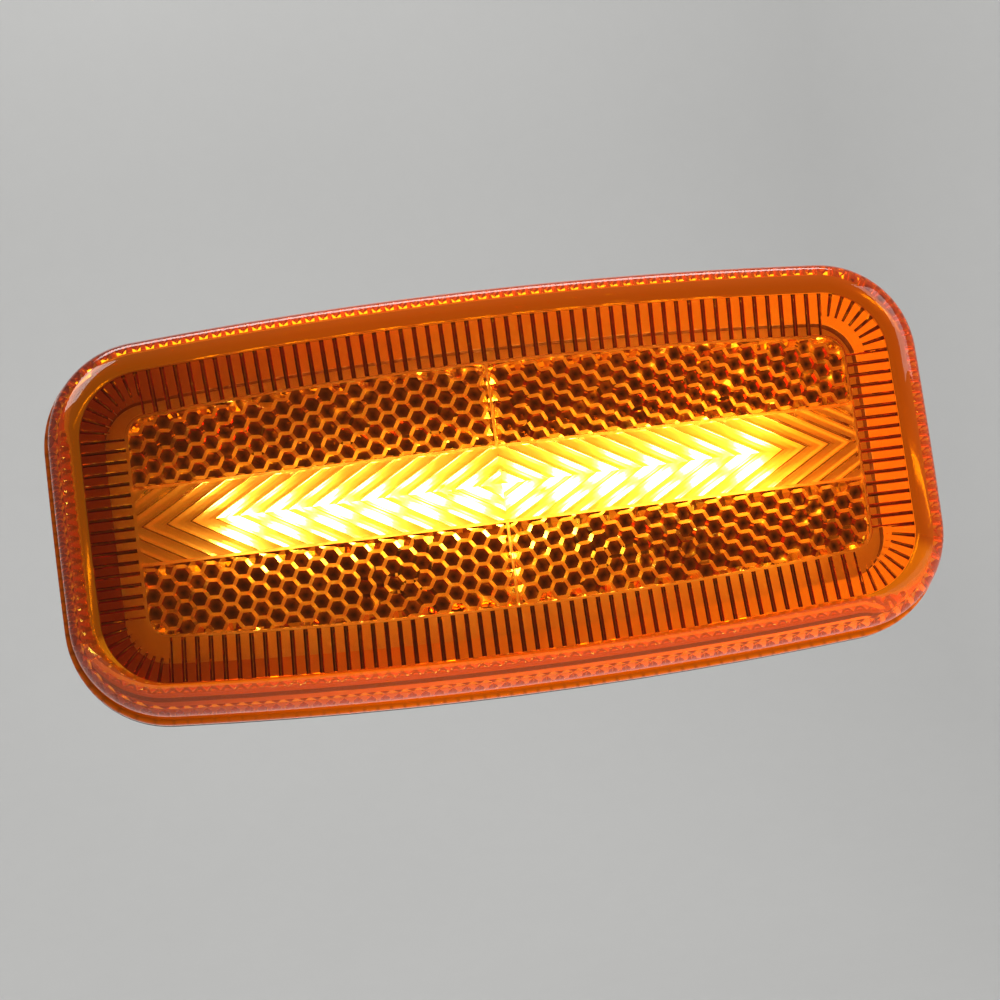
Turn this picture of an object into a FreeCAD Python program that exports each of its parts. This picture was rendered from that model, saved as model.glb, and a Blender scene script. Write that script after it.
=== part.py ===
import FreeCAD, Part
import math
import os

os.makedirs("parts", exist_ok=True)
Vector = FreeCAD.Vector

# Amber side marker lamp, in millimetres. X runs along the lamp, Z is up,
# the lens looks towards -Y and the vehicle panel is the plane y = 0.

# Working margins: how far fused pieces sink into each other and cutters run past
overlap = 0.2
cut_margin = 1.0

# Lens outline
lamp_length = 120.0
lamp_height = 55.5
long_side_radius = 600.0
short_side_radius = 850.0
corner_radius = 14.0

# Stack of layers, front to back
gasket_thickness = 2.5
flange_thickness = 2.0
lens_depth = 10.0
optic_wall = 3.0

# Lens shell
lip_width = 0.8
lip_thickness = 1.2
skirt_wall = 2.4
outer_round = 4.4
outer_round_steps = 3
inner_bevel = 1.9
tongue_width = 1.2
tongue_depth = 1.0

# Flute ring round the optic field
flute_land = 0.1
flute_start = lip_width + skirt_wall + inner_bevel + flute_land
flute_length = 5.8
flute_height = 0.7
flute_groove_width = 0.7
flute_groove_depth = 0.55
flutes_long_side = 52
flutes_short_side = 16
flutes_corner = 8

# Hexagon reflex cells and chevron band
land_width = 0.4
cell_pitch = 2.29
cell_base = 0.35
band_half_height = 5.1
chevron_pitch = 3.2
chevron_angle = 30.0
chevron_base = 0.2
chevron_height = 0.3

# Housing
fit_clearance = 0.1
tub_inset = 5.2
tub_wall = 2.0
tub_depth = 5.0
back_wall = 2.0
edge_chamfer = 0.8

# White reflector frame on the ledge round the board
frame_thickness = 0.8
frame_board_gap = 0.9

# Circuit board and its screws
board_clearance = 0.3
board_thickness = 1.6
board_gap = 3.4
board_screw_x = 44.0
board_screw_z = 11.0
post_diameter = 5.5
board_screw_head_diameter = 4.2
board_screw_head_height = 1.6
board_screw_shank_diameter = 2.0
board_screw_length = 4.4
board_screw_slot_length = 2.4
board_screw_slot_width = 0.45
board_screw_slot_depth = 0.7
pilot_runout = 0.5
shank_clearance = 0.05
board_hole_clearance = 0.2

# Light diodes
led_count = 12
led_pitch = 6.32
led_length = 3.0
led_width = 2.8
led_height = 0.9
led_cup_length = 2.2
led_cup_width = 1.9
led_cup_depth = 0.35

# Small parts on the board
resistor_length = 3.2
resistor_width = 1.6
resistor_height = 0.6
resistor_cap = 0.5
resistor_step = 0.05
resistor_count = 6
resistor_pitch = 12.64
resistor_row_z = 9.5
chip_length = 4.9
chip_width = 3.9
chip_height = 1.5
chip_standoff = 0.15
chip_leads_per_side = 4
chip_lead_reach = 1.05
chip_lead_width = 0.42
chip_lead_pitch = 1.27
chip_lead_thickness = 0.2
chip_x = -14.0
power_part_z = -10.5
diode_length = 4.3
diode_width = 2.6
diode_height = 2.1
diode_standoff = 0.1
diode_tab_length = 0.6
diode_tab_width = 1.5
diode_tab_thickness = 0.25
diode_x = 14.0
capacitor_diameter = 5.0
capacitor_height = 5.2
capacitor_base = 5.3
capacitor_chamfer = 0.4
capacitor_base_height = 0.8
capacitor_x = 24.0

# Rear screw bosses
boss_spacing = 80.0
boss_diameter = 9.0
boss_hole_diameter = 3.4
boss_length = 7.0
boss_hole_depth = 7.5
boss_rib_thickness = 1.6
boss_rib_reach = 11.0
boss_rib_toe = 0.8
boss_rib_drop = 1.5
boss_chamfer = 0.5

# Rear socket
socket_inner_length = 19.0
socket_inner_height = 9.0
socket_wall = 1.5
socket_corner = 2.0
socket_reach = 12.0
socket_floor = 1.6
socket_collar = 1.6
socket_collar_thickness = 1.2
socket_key_width = 2.4
socket_key_height = 1.0
socket_key_start = 1.0
seal_thickness = 0.8
terminal_spacing = 2 * led_pitch
terminal_width = 2.8
terminal_thickness = 0.8
terminal_tail_width = 1.2
terminal_tip_inset = 4.0
terminal_tip_chamfer = 0.25
terminal_tail_proud = 0.9
terminal_hole_clearance = 0.15

# Planes along Y
flange_back = -gasket_thickness
foot_plane = flange_back - flange_thickness
face_plane = foot_plane - lens_depth
ceiling = face_plane + optic_wall
tub_floor_outer = tub_depth
tub_floor_inner = tub_depth - back_wall
board_back = tub_floor_inner - board_gap
board_front = board_back - board_thickness

# Insets from the outline
half_length = lamp_length / 2
half_height = lamp_height / 2
cavity_inset = lip_width + skirt_wall
tongue_inset = lip_width + (skirt_wall - tongue_width) / 2
field_inset = flute_start + flute_length
tub_inner_inset = tub_inset + tub_wall
board_inset = tub_inner_inset + board_clearance


def corner_centre():
    """Centre of the corner arc that is tangent to a long side and a short side."""
    long_reach = long_side_radius - corner_radius
    short_reach = short_side_radius - corner_radius
    long_z = half_height - long_side_radius
    short_x = half_length - short_side_radius
    gap = math.hypot(short_x, long_z)
    along = (long_reach ** 2 - short_reach ** 2 + gap ** 2) / (2 * gap)
    across = math.sqrt(long_reach ** 2 - along ** 2)
    unit_x = short_x / gap
    unit_z = -long_z / gap
    return unit_x * along + unit_z * across, long_z + unit_z * along - unit_x * across


corner_x, corner_z = corner_centre()
long_z = half_height - long_side_radius
short_x = half_length - short_side_radius
long_angle = math.atan2(corner_z - long_z, corner_x)
short_angle = math.atan2(corner_z, corner_x - short_x)


def outline_wire(inset, y):
    """Closed outline of eight tangent arcs, moved inwards by the inset."""
    long_r = long_side_radius - inset
    short_r = short_side_radius - inset
    corner_r = corner_radius - inset
    middle = (long_angle + short_angle) / 2
    top_x = long_r * math.cos(long_angle)
    top_z = long_z + long_r * math.sin(long_angle)
    side_x = short_x + short_r * math.cos(short_angle)
    side_z = short_r * math.sin(short_angle)
    mid_x = corner_x + corner_r * math.cos(middle)
    mid_z = corner_z + corner_r * math.sin(middle)
    end_x = half_length - inset
    end_z = half_height - inset
    points = [(-top_x, top_z), (0, end_z), (top_x, top_z), (mid_x, mid_z), (side_x, side_z), (end_x, 0)]
    points += [(side_x, -side_z), (mid_x, -mid_z), (top_x, -top_z), (0, -end_z), (-top_x, -top_z)]
    points += [(-mid_x, -mid_z), (-side_x, -side_z), (-end_x, 0), (-side_x, side_z), (-mid_x, mid_z)]
    corners = [Vector(x, y, z) for x, z in points]
    edges = []
    for start in range(0, 16, 2):
        arc = Part.Arc(corners[start], corners[start + 1], corners[(start + 2) % 16])
        edges.append(arc.toShape())
    return Part.Wire(edges)


def slab(inset, y_front, y_back):
    """Solid with the lamp outline between two planes."""
    face = Part.Face(outline_wire(inset, y_front))
    return face.extrude(Vector(0, y_back - y_front, 0))


def ring(outer_inset, inner_inset, y_front, y_back):
    """Band with the lamp outline between two insets."""
    hole = slab(inner_inset, y_front - cut_margin, y_back + cut_margin)
    return slab(outer_inset, y_front, y_back).cut(hole)


def rounded_slab(inset, radius, steps, y_front, y_back):
    """Slab whose front edge is rounded by a few ruled faces."""
    wires = []
    for step in range(steps + 1):
        turn = math.pi / 2 * step / steps
        in_by = inset + radius * (1 - math.sin(turn))
        wires.append(outline_wire(in_by, y_front + radius * (1 - math.cos(turn))))
    wires.append(outline_wire(inset, y_back))
    return Part.makeLoft(wires, True, True)


def block(x, y_front, z, length, depth, height):
    """Box centred on x and z that starts at a plane and runs backwards."""
    return Part.makeBox(length, depth, height, Vector(x - length / 2, y_front, z - height / 2))


def rod(x, y_front, z, diameter, depth):
    """Round bar along Y."""
    return Part.makeCylinder(diameter / 2, depth, Vector(x, y_front, z), Vector(0, 1, 0))


def cone(x, y_front, z, front_diameter, back_diameter, depth):
    """Tapered round bar along Y."""
    base = Vector(x, y_front, z)
    return Part.makeCone(front_diameter / 2, back_diameter / 2, depth, base, Vector(0, 1, 0))


def rounded_block(x, y_front, z, length, depth, height, radius):
    """Box along Y with rounded corners."""
    shape = block(x, y_front, z, length, depth, height)
    edges = [edge for edge in shape.Edges if edge.BoundBox.YLength > depth / 2]
    return shape.makeFillet(radius, edges)


def edges_between(shape, y_low, y_high):
    """Edges that lie wholly between two planes."""
    found = []
    for edge in shape.Edges:
        box = edge.BoundBox
        if box.YMin > y_low and box.YMax < y_high:
            found.append(edge)
    return found


def flat_face(points):
    """Plane face through the points in order."""
    return Part.Face(Part.makePolygon(points + points[:1]))


def mirrored(shape, axis):
    """Copy of the shape on the other side of the middle plane."""
    return shape.mirror(Vector(0, 0, 0), axis)


def save(shape, name):
    """Write one node."""
    if shape.ShapeType != "Solid" and len(shape.Solids) == 1:
        shape = shape.Solids[0]
    shape.exportStep("parts/" + name + ".step")
    print(name, len(shape.Solids), len(shape.Faces), round(shape.Volume, 1), shape.isValid())


left_right = Vector(1, 0, 0)
up_down = Vector(0, 0, 1)


def flute_places():
    """Groove lines in turn round the lens: arc centre, radius, angle, and whether inside a corner."""
    far_long = math.pi - long_angle
    far_short = math.pi - short_angle
    arcs = [
        (short_x, 0.0, short_side_radius, -short_angle, short_angle, flutes_short_side, False),
        (corner_x, corner_z, corner_radius, short_angle, long_angle, flutes_corner, True),
        (0.0, long_z, long_side_radius, long_angle, far_long, flutes_long_side, False),
        (-corner_x, corner_z, corner_radius, far_long, far_short, flutes_corner, True),
    ]
    places = []
    for sign, turned in ((1, 0.0), (-1, math.pi)):
        for x, z, radius, start, end, flutes, corner in arcs:
            for count in range(flutes):
                angle = turned + start + (end - start) * count / flutes
                places.append((sign * x, sign * z, radius, angle, corner and count > 0))
    return places


def flute_outline(inset, y):
    """Flat face with one straight side for each flute."""
    corners = []
    for x, z, radius, angle, in_corner in flute_places():
        reach = radius - inset
        corners.append(Vector(x + reach * math.cos(angle), y, z + reach * math.sin(angle)))
    return flat_face(corners)


# Lens shell: outline, round front edge, lip and hollow inside
lens = rounded_slab(lip_width, outer_round, outer_round_steps, face_plane, foot_plane)
lens = lens.fuse(slab(0, foot_plane - lip_thickness, foot_plane))
hollow = slab(cavity_inset, ceiling, foot_plane + cut_margin)
hollow = hollow.makeChamfer(inner_bevel, edges_between(hollow, ceiling - overlap, ceiling + overlap))
lens = lens.cut(hollow)
tongue = ring(tongue_inset, tongue_inset + tongue_width, foot_plane - overlap, foot_plane + tongue_depth)

# Ring of flutes with a groove between each two
flute_face = flute_outline(flute_start, ceiling - overlap).cut(flute_outline(field_inset, ceiling - overlap))
flute_band = flute_face.extrude(Vector(0, flute_height + overlap, 0))
groove_cutters = []
for centre_x, centre_z, radius, angle, in_corner in flute_places():
    out = Vector(math.cos(angle), 0, math.sin(angle))
    side = Vector(-math.sin(angle), 0, math.cos(angle))
    reach = flute_length / 2 if in_corner else flute_length
    start = Vector(centre_x, 0, centre_z) + out * (radius - flute_start + overlap)
    top = Vector(0, ceiling + flute_height + overlap, 0)
    bottom = Vector(0, ceiling + flute_height - flute_groove_depth, 0)
    half = side * (flute_groove_width / 2 * (flute_groove_depth + overlap) / flute_groove_depth)
    wedge = flat_face([start + top - half, start + top + half, start + bottom])
    groove_cutters.append(wedge.extrude(out * -(reach + 2 * overlap)))
flute_band = flute_band.cut(groove_cutters)

# Hexagon reflex cells: three square facets of a cube corner over every hexagon
cell_radius = cell_pitch / math.sqrt(3)
cell_step = cell_pitch / math.sqrt(6)
valley = ceiling + cell_base
facets = []
edge_uses = {}
column_pitch = cell_pitch * math.sqrt(3) / 2
columns = int(half_length / column_pitch)
rows = int(half_height / cell_pitch)
for column in range(0, columns):
    for row in range(1, rows):
        cell_x = column * column_pitch
        cell_z = (row + 0.5 * (column % 2)) * cell_pitch
        apex = Vector(cell_x, valley + 2 * cell_step, cell_z)
        rim = []
        for turn in range(6):
            angle = math.radians(60 * turn)
            height = valley + cell_step * ((turn + 1) % 2)
            rim_x = cell_x + cell_radius * math.cos(angle)
            rim_z = cell_z + cell_radius * math.sin(angle)
            rim.append(Vector(rim_x, height, rim_z))
        for turn in (0, 2, 4):
            facet = [apex, rim[turn], rim[turn + 1], rim[(turn + 2) % 6]]
            facets.append(flat_face(facet))
            for first, second in zip(facet, facet[1:] + facet[:1]):
                ends = sorted([(round(p.x, 3), round(p.z, 3), p.x, p.y, p.z) for p in (first, second)])
                key = (ends[0][:2], ends[1][:2])
                edge_uses.setdefault(key, []).append((first, second))
floor_y = ceiling - overlap
floor_edges = []
for uses in edge_uses.values():
    if len(uses) == 1:
        first, second = uses[0]
        low_first = Vector(first.x, floor_y, first.z)
        low_second = Vector(second.x, floor_y, second.z)
        facets.append(flat_face([first, second, low_second, low_first]))
        floor_edges.append(Part.makeLine(low_first, low_second))
facets.append(Part.Face(Part.Wire(Part.__sortEdges__(floor_edges))))
cells = Part.Compound(facets)
cells.sewShape()
cells = Part.Solid(cells.Shells[0]) if cells.Shells else Part.Solid(Part.Shell(cells.Faces))
if cells.Volume < 0:
    cells.reverse()
panel_bottom = band_half_height + land_width / 2
panel_front = ceiling - cut_margin
panel_depth = lens_depth - optic_wall + cut_margin
panel_corner = Vector(land_width / 2, panel_front, panel_bottom)
panel_box = Part.makeBox(half_length, panel_depth, half_height, panel_corner)
panel = slab(field_inset + land_width, panel_front, foot_plane).common(panel_box).common(cells)

# Chevron ribs: a row of ridges along X, drawn out at the chevron angle
slope = 1 / math.tan(math.radians(chevron_angle))
chevron_end = half_length - field_inset - land_width
chevron_top = band_half_height - land_width / 2
rib_count = int((chevron_end + slope * band_half_height) / chevron_pitch) + 2
rib_base = ceiling + chevron_base
profile = [Vector(0, ceiling - overlap, 0)]
for rib in range(rib_count):
    rib_x = rib * chevron_pitch
    profile.append(Vector(rib_x, rib_base, 0))
    profile.append(Vector(rib_x + chevron_pitch / 2, rib_base + chevron_height, 0))
profile.append(Vector(rib_count * chevron_pitch, rib_base, 0))
profile.append(Vector(rib_count * chevron_pitch, ceiling - overlap, 0))
ribs = flat_face(profile).extrude(Vector(-slope * band_half_height, 0, band_half_height))
ribs = ribs.common(Part.makeBox(chevron_end, panel_depth, chevron_top, Vector(0, panel_front, 0)))

# Lens in one piece
optics = [flute_band, tongue]
for quarter in (panel, ribs):
    optics.append(quarter)
    optics.append(mirrored(quarter, left_right))
    optics.append(mirrored(quarter, up_down))
    optics.append(mirrored(mirrored(quarter, left_right), up_down))
lens = lens.fuse(optics)
save(lens, "lens")

# Reflector frame: flat ring on the housing's ledge with a short skirt down its inner edge
frame_outer = cavity_inset + board_clearance
frame_skirt = tub_inner_inset + fit_clearance
frame_front = foot_plane - frame_thickness
reflector_frame = ring(frame_outer, frame_skirt + frame_thickness, frame_front, foot_plane)
frame_wall = ring(frame_skirt, frame_skirt + frame_thickness, frame_front, board_front - frame_board_gap)
reflector_frame = reflector_frame.fuse(frame_wall).removeSplitter()
save(reflector_frame, "reflector_frame")

# Gasket behind the flange
gasket = ring(lip_width, tub_inset - fit_clearance, flange_back, 0)
save(gasket, "gasket")

# Housing: flange with weld groove, tub, bosses, board posts
housing = slab(0, foot_plane, flange_back).fuse(slab(tub_inset, flange_back - overlap, tub_floor_outer))
back_edges = edges_between(housing, tub_floor_outer - overlap, tub_floor_outer + overlap)
housing = housing.makeChamfer(edge_chamfer, back_edges)
groove_inset = tongue_inset - fit_clearance
groove_width = tongue_width + 2 * fit_clearance
groove_floor = foot_plane + tongue_depth + fit_clearance
groove = ring(groove_inset, groove_inset + groove_width, foot_plane - cut_margin, groove_floor)
housing = housing.cut(groove)
housing = housing.cut(slab(tub_inner_inset, foot_plane - cut_margin, tub_floor_inner))
boss_end = tub_floor_outer + boss_length
for side in (-1, 1):
    boss_x = side * boss_spacing / 2
    housing = housing.fuse(rod(boss_x, tub_floor_outer - overlap, 0, boss_diameter, boss_length + overlap))
    for turn in (90, 270, 180 if side > 0 else 0):
        rib = flat_face([
            Vector(0, tub_floor_outer - overlap, 0),
            Vector(boss_rib_reach, tub_floor_outer - overlap, 0),
            Vector(boss_rib_reach, tub_floor_outer + boss_rib_toe, 0),
            Vector(boss_diameter / 2, boss_end - boss_rib_drop, 0),
            Vector(0, boss_end - boss_rib_drop, 0),
        ])
        rib = rib.extrude(Vector(0, 0, boss_rib_thickness))
        rib.translate(Vector(0, 0, -boss_rib_thickness / 2))
        rib.rotate(Vector(0, 0, 0), Vector(0, 1, 0), turn)
        rib.translate(Vector(boss_x, 0, 0))
        housing = housing.fuse(rib)
for side in (-1, 1):
    boss_x = side * boss_spacing / 2
    hole_front = boss_end - boss_hole_depth
    housing = housing.cut(rod(boss_x, hole_front, 0, boss_hole_diameter, boss_hole_depth + cut_margin))
    mouth_diameter = boss_hole_diameter + 2 * boss_chamfer
    mouth = cone(boss_x, boss_end - boss_chamfer, 0, boss_hole_diameter, mouth_diameter, boss_chamfer)
    housing = housing.cut(mouth)
pilot_diameter = board_screw_shank_diameter + 2 * shank_clearance
for post_x in (-board_screw_x, board_screw_x):
    for post_z in (-board_screw_z, board_screw_z):
        housing = housing.fuse(rod(post_x, board_back, post_z, post_diameter, board_gap + overlap))
for post_x in (-board_screw_x, board_screw_x):
    for post_z in (-board_screw_z, board_screw_z):
        pilot_depth = board_screw_length - board_thickness + pilot_runout
        pilot = rod(post_x, board_back - overlap, post_z, pilot_diameter, pilot_depth + overlap)
        housing = housing.cut(pilot)

# Opening for the socket in the back wall
socket_length = socket_inner_length + 2 * socket_wall
socket_height = socket_inner_height + 2 * socket_wall
opening_length = socket_length + 2 * fit_clearance
opening_height = socket_height + 2 * fit_clearance
opening_front = tub_floor_inner - cut_margin
opening_depth = back_wall + 2 * cut_margin
opening = rounded_block(0, opening_front, 0, opening_length, opening_depth, opening_height, socket_corner)
housing = housing.cut(opening)
save(housing, "housing")

# Socket: collar, seal, hollow shell with a floor
collar_length = socket_length + 2 * socket_collar
collar_height = socket_height + 2 * socket_collar
collar_back = tub_floor_inner - seal_thickness
collar_front = collar_back - socket_collar_thickness
socket_end = tub_floor_outer + socket_reach
shell_radius = socket_corner - fit_clearance
shell_depth = socket_end - collar_front
collar_depth = socket_collar_thickness
shell = rounded_block(0, collar_front, 0, socket_length, shell_depth, socket_height, shell_radius)
collar = rounded_block(0, collar_front, 0, collar_length, collar_depth, collar_height, socket_corner)
shell = shell.fuse(collar)
hollow_front = collar_front + socket_floor
hollow_depth = socket_end - hollow_front + cut_margin
hollow_radius = socket_corner - socket_wall / 2
inner_length = socket_inner_length
inner_height = socket_inner_height
hollow = rounded_block(0, hollow_front, 0, inner_length, hollow_depth, inner_height, hollow_radius)
shell = shell.cut(hollow)
key_z = socket_height / 2 + (socket_key_height - overlap) / 2
key_front = tub_floor_outer + socket_key_start
key_depth = socket_end - key_front
shell = shell.fuse(block(0, key_front, key_z, socket_key_width, key_depth, socket_key_height + overlap))
slot_front = collar_front - cut_margin
slot_depth = socket_floor + 2 * cut_margin
for side in (-1, 1):
    slot_x = side * terminal_spacing / 2
    shell = shell.cut(block(slot_x, slot_front, 0, terminal_thickness, slot_depth, terminal_width))
save(shell, "connector_shell")

seal = rounded_block(0, collar_back, 0, collar_length, seal_thickness, collar_height, socket_corner)
hole_front = collar_back - cut_margin
hole_depth = seal_thickness + 2 * cut_margin
hole = rounded_block(0, hole_front, 0, opening_length, hole_depth, opening_height, socket_corner)
seal = seal.cut(hole)
save(seal, "connector_seal")

# Terminals: blade in the socket, thin tail through the board
terminal_tip = socket_end - terminal_tip_inset
tail_front = board_front - terminal_tail_proud
for side, name in ((-1, "terminal_left"), (1, "terminal_right")):
    blade_x = side * terminal_spacing / 2
    blade = block(blade_x, collar_front, 0, terminal_thickness, terminal_tip - collar_front, terminal_width)
    tip_edges = edges_between(blade, terminal_tip - overlap, terminal_tip + overlap)
    blade = blade.makeChamfer(terminal_tip_chamfer, tip_edges)
    tail_length = collar_front - tail_front + overlap
    tail = block(blade_x, tail_front, 0, terminal_thickness, tail_length, terminal_tail_width)
    save(blade.fuse(tail), name)

# Circuit board with holes for screws and tails
board = slab(board_inset, board_front, board_back)
hole_diameter = board_screw_shank_diameter + 2 * board_hole_clearance
hole_front = board_front - cut_margin
hole_depth = board_thickness + 2 * cut_margin
for hole_x in (-board_screw_x, board_screw_x):
    for hole_z in (-board_screw_z, board_screw_z):
        board = board.cut(rod(hole_x, hole_front, hole_z, hole_diameter, hole_depth))
for side in (-1, 1):
    hole_length = terminal_thickness + 2 * terminal_hole_clearance
    hole_height = terminal_tail_width + 2 * terminal_hole_clearance
    hole_x = side * terminal_spacing / 2
    board = board.cut(block(hole_x, hole_front, 0, hole_length, hole_depth, hole_height))
save(board, "circuit_board")

# Board screws, one group
screws = []
for screw_x in (-board_screw_x, board_screw_x):
    for screw_z in (-board_screw_z, board_screw_z):
        head_front = board_front - board_screw_head_height
        head = rod(screw_x, head_front, screw_z, board_screw_head_diameter, board_screw_head_height)
        shank_front = board_front - overlap
        shank_length = board_screw_length + overlap
        screw = head.fuse(rod(screw_x, shank_front, screw_z, board_screw_shank_diameter, shank_length))
        for turn in (0, 90):
            slot_front = head_front - overlap
            slot_depth = board_screw_slot_depth + overlap
            slot = block(0, slot_front, 0, board_screw_slot_length, slot_depth, board_screw_slot_width)
            slot.rotate(Vector(0, 0, 0), Vector(0, 1, 0), turn)
            slot.translate(Vector(screw_x, 0, screw_z))
            screw = screw.cut(slot)
        screws.append(screw)
save(Part.Compound(screws), "board_screws")

# Light diodes in one row
led_front = board_front - led_height
for count in range(led_count):
    led_x = (count - (led_count - 1) / 2) * led_pitch
    led = block(led_x, led_front, 0, led_length, led_height, led_width)
    led = led.cut(block(led_x, led_front, 0, led_cup_length, led_cup_depth, led_cup_width))
    save(led, "led_" + str(count + 1).zfill(2))

# Resistors in one row above the light diodes
for count in range(resistor_count):
    place = (count - (resistor_count - 1) / 2) * resistor_pitch
    body_length = resistor_length - 2 * resistor_cap
    body_front = board_front - resistor_height
    body_height = resistor_height - 2 * resistor_step
    body_width = resistor_width - 2 * resistor_step
    resistor = block(place, body_front + resistor_step, resistor_row_z, body_length, body_height, body_width)
    for side in (-1, 1):
        cap_x = place + side * (resistor_length - resistor_cap) / 2
        cap = block(cap_x, body_front, resistor_row_z, resistor_cap, resistor_height, resistor_width)
        resistor = resistor.fuse(cap)
    save(resistor, "resistor_" + str(count + 1))

# Driver chip with eight leads
chip_front = board_front - chip_height
chip = block(chip_x, chip_front, power_part_z, chip_length, chip_height - chip_standoff, chip_width)
for side in (-1, 1):
    for count in range(chip_leads_per_side):
        lead_x = chip_x + (count - (chip_leads_per_side - 1) / 2) * chip_lead_pitch
        lead_z = power_part_z + side * (chip_width / 2 + (chip_lead_reach - overlap) / 2)
        lead_length = chip_lead_reach + overlap
        foot_front = board_front - chip_lead_thickness
        foot = block(lead_x, foot_front, lead_z, chip_lead_width, chip_lead_thickness, lead_length)
        knee_z = power_part_z + side * (chip_width / 2 + chip_lead_thickness / 2)
        knee_depth = chip_height / 2
        knee_front = board_front - knee_depth
        knee = block(lead_x, knee_front, knee_z, chip_lead_width, knee_depth, chip_lead_thickness)
        chip = chip.fuse(foot).fuse(knee)
save(chip, "driver_chip")

# Protection diode with two tabs
diode_front = board_front - diode_height
diode = block(diode_x, diode_front, power_part_z, diode_length, diode_height - diode_standoff, diode_width)
tab_span = diode_length + 2 * diode_tab_length
tab_front = board_front - diode_tab_thickness
diode = diode.fuse(block(diode_x, tab_front, power_part_z, tab_span, diode_tab_thickness, diode_tab_width))
save(diode, "protection_diode")

# Round capacitor on its square base
can_front = board_front - capacitor_height
capacitor = rod(capacitor_x, can_front, power_part_z, capacitor_diameter, capacitor_height)
can_edges = edges_between(capacitor, can_front - overlap, can_front + overlap)
capacitor = capacitor.makeChamfer(capacitor_chamfer, can_edges)
base_front = board_front - capacitor_base_height
base = block(capacitor_x, base_front, power_part_z, capacitor_base, capacitor_base_height, capacitor_base)
capacitor = capacitor.fuse(base)
save(capacitor, "capacitor")
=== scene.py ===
import math
import bpy
import numpy as np
from mathutils import Matrix, Vector


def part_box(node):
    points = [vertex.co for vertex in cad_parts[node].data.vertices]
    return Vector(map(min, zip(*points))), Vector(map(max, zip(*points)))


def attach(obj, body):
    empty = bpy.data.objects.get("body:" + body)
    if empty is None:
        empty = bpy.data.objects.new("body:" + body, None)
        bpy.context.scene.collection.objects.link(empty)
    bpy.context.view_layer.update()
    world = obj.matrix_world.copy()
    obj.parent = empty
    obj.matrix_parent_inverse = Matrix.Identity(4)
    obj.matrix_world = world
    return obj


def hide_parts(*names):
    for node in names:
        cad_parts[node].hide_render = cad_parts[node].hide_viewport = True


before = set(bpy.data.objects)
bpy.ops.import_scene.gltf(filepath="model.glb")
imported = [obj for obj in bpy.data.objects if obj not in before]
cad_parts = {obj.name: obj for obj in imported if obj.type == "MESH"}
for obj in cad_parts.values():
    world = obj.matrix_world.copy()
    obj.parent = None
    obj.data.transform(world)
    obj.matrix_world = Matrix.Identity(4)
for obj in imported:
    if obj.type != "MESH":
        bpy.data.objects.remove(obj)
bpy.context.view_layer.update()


# Housing: the black tub and flange that everything is built into. Injection
# moulded in one with its screw bosses and board posts, and spark-eroded to a
# fine dull grain on the outside.
def add_node(tree, kind, inputs, operation=None):
    """Shader node with a number, a colour or another node's output on each of
    the inputs, which are given by name or by number."""
    made = tree.nodes.new("ShaderNode" + kind)
    if operation:
        made.operation = operation
    for key, value in inputs.items():
        if isinstance(value, bpy.types.NodeSocket):
            tree.links.new(value, made.inputs[key])
        else:
            made.inputs[key].default_value = value
    return made


def math_node(tree, operation, *values):
    """Output of a Math node on numbers or other nodes' outputs."""
    return add_node(tree, "Math", dict(enumerate(values)), operation).outputs[0]


def vector_node(tree, operation, first, second):
    """Output of a Vector Math node on two vectors, or on a vector and its scale."""
    key = "Scale" if operation == "SCALE" else 1
    return add_node(tree, "VectorMath", {0: first, key: second}, operation).outputs[0]


def moulded_grain():
    """Node group: two noises on Object coordinates. Both shade the colour, and
    the fine one moves the roughness between its two ends and gives a bump of
    the given strength."""
    group = bpy.data.node_groups.new("moulded_grain", "ShaderNodeTree")
    for name, kind, value in (
        ("Colour", "NodeSocketColor", (0.5, 0.5, 0.5, 1)),
        ("Shade", "NodeSocketFloat", 0.2),
        ("Grain Scale", "NodeSocketFloat", 2500.0),
        ("Patch Scale", "NodeSocketFloat", 60.0),
        ("Rough Low", "NodeSocketFloat", 0.4),
        ("Rough High", "NodeSocketFloat", 0.6),
        ("Bump", "NodeSocketFloat", 0.2),
    ):
        socket = group.interface.new_socket(name, in_out="INPUT", socket_type=kind)
        socket.default_value = value
    for name, kind in (
        ("Colour", "NodeSocketColor"),
        ("Roughness", "NodeSocketFloat"),
        ("Normal", "NodeSocketVector"),
    ):
        group.interface.new_socket(name, in_out="OUTPUT", socket_type=kind)
    inlet = group.nodes.new("NodeGroupInput").outputs
    outlet = group.nodes.new("NodeGroupOutput").inputs
    place = add_node(group, "TexCoord", {}).outputs["Object"]
    noise = {"Vector": place, "Scale": inlet["Grain Scale"], "Detail": 3.0}
    grain = add_node(group, "TexNoise", noise).outputs["Fac"]
    noise = {"Vector": place, "Scale": inlet["Patch Scale"], "Detail": 4.0}
    patch = add_node(group, "TexNoise", noise).outputs["Fac"]
    swing = add_node(group, "MapRange", {
        "Value": math_node(group, "MULTIPLY_ADD", grain, 0.5, patch),
        "From Min": 0.45,
        "From Max": 1.05,
        "To Min": math_node(group, "SUBTRACT", 1.0, inlet["Shade"]),
        "To Max": math_node(group, "ADD", 1.0, inlet["Shade"]),
    })
    tint = vector_node(group, "SCALE", inlet["Colour"], swing.outputs[0])
    rough = add_node(group, "MapRange", {
        "Value": grain,
        "From Min": 0.3,
        "From Max": 0.7,
        "To Min": inlet["Rough Low"],
        "To Max": inlet["Rough High"],
    })
    bump = add_node(group, "Bump", {"Distance": 0.0002, "Strength": inlet["Bump"], "Height": grain})
    group.links.new(tint, outlet["Colour"])
    group.links.new(rough.outputs[0], outlet["Roughness"])
    group.links.new(bump.outputs[0], outlet["Normal"])
    return group


grain_group = moulded_grain()


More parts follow.
